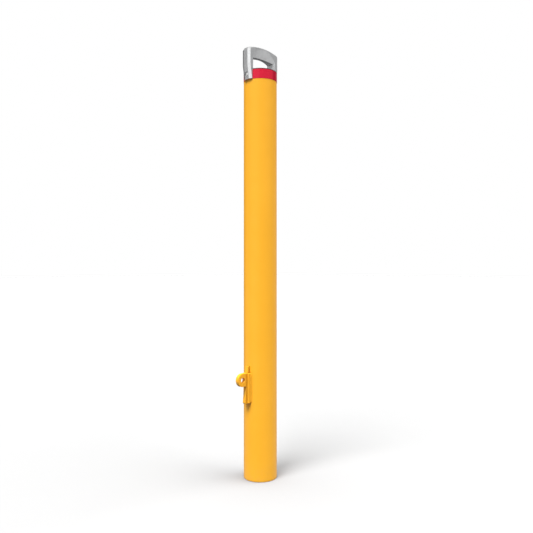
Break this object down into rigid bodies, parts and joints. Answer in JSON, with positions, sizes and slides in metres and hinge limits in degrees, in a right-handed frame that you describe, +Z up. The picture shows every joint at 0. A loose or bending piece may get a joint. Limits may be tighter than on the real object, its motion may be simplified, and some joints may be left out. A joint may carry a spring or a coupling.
{
  "type": "removable bollard",
  "caption": "Removable round steel safety bollard with a cast lifting handle, a red reflective band and a padlockable drop bolt between two guide cheeks.",
  "frame": {"origin": "centre of the foot's flat face, on the post's axis, on the floor the post stands on", "axes": "+Z up along the post, -Y towards the lock and the front leg of the handle, +X to the right seen from the front"},
  "size_m": [0.0906, 0.1407, 1.1652],
  "materials": {
    "yellow_powder_coat": "satin powder coat",
    "black_plastic": "moulded",
    "red_reflective": "glossy retro-reflective tape",
    "cast_aluminium": "satin cast",
    "stainless_steel": "bright",
    "zinc_steel": "zinc plated",
    "spring_steel": "dark tempered"
  },
  "bodies": {
    "post": {"post_tube": "yellow_powder_coat", "foot_plug": "black_plastic", "top_cap": "black_plastic", "reflective_band": "red_reflective", "carry_handle": "cast_aluminium", "handle_screw_front": "stainless_steel", "handle_screw_rear": "stainless_steel", "screw_washer_front": "stainless_steel", "screw_washer_rear": "stainless_steel", "rivet_nut_front": "zinc_steel", "rivet_nut_rear": "zinc_steel", "guide_cheek_left": "yellow_powder_coat", "guide_cheek_right": "yellow_powder_coat", "cheek_weld_left": "yellow_powder_coat", "cheek_weld_right": "yellow_powder_coat", "guide_pin_lower": "yellow_powder_coat", "guide_pin_upper": "yellow_powder_coat"},
    "bolt": {"drop_bolt": "yellow_powder_coat", "friction_spring": "spring_steel"}
  },
  "joints": [
    {"name": "bolt_drop", "type": "slide", "parent": "post", "child": "bolt", "axis": [0, 0, -1], "range_m": [0, 0.016]}
  ]
}
